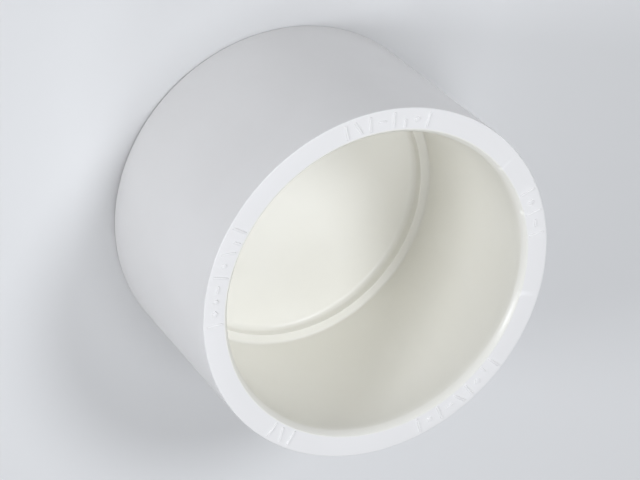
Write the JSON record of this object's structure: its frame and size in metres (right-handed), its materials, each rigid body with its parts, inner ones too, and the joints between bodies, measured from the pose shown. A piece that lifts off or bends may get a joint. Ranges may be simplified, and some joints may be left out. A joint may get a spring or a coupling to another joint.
{
  "type": "pipe end cap",
  "caption": "Round one-piece plastic end cap with a plain tapered socket, a stop ledge and a dished, closed end; it is cemented over the end of a pipe.",
  "frame": {"origin": "centre of the closed end's flat outer face, on which the cap stands", "axes": "+Z along the cap's axis, towards its open mouth; X and Y are equivalent, and only the rim's marks tell them apart"},
  "size_m": [0.071, 0.071, 0.0433],
  "materials": {
    "white_pvc": "satin, as moulded"
  },
  "bodies": {
    "root": {"cap_body": "white_pvc"}
  },
  "joints": []
}
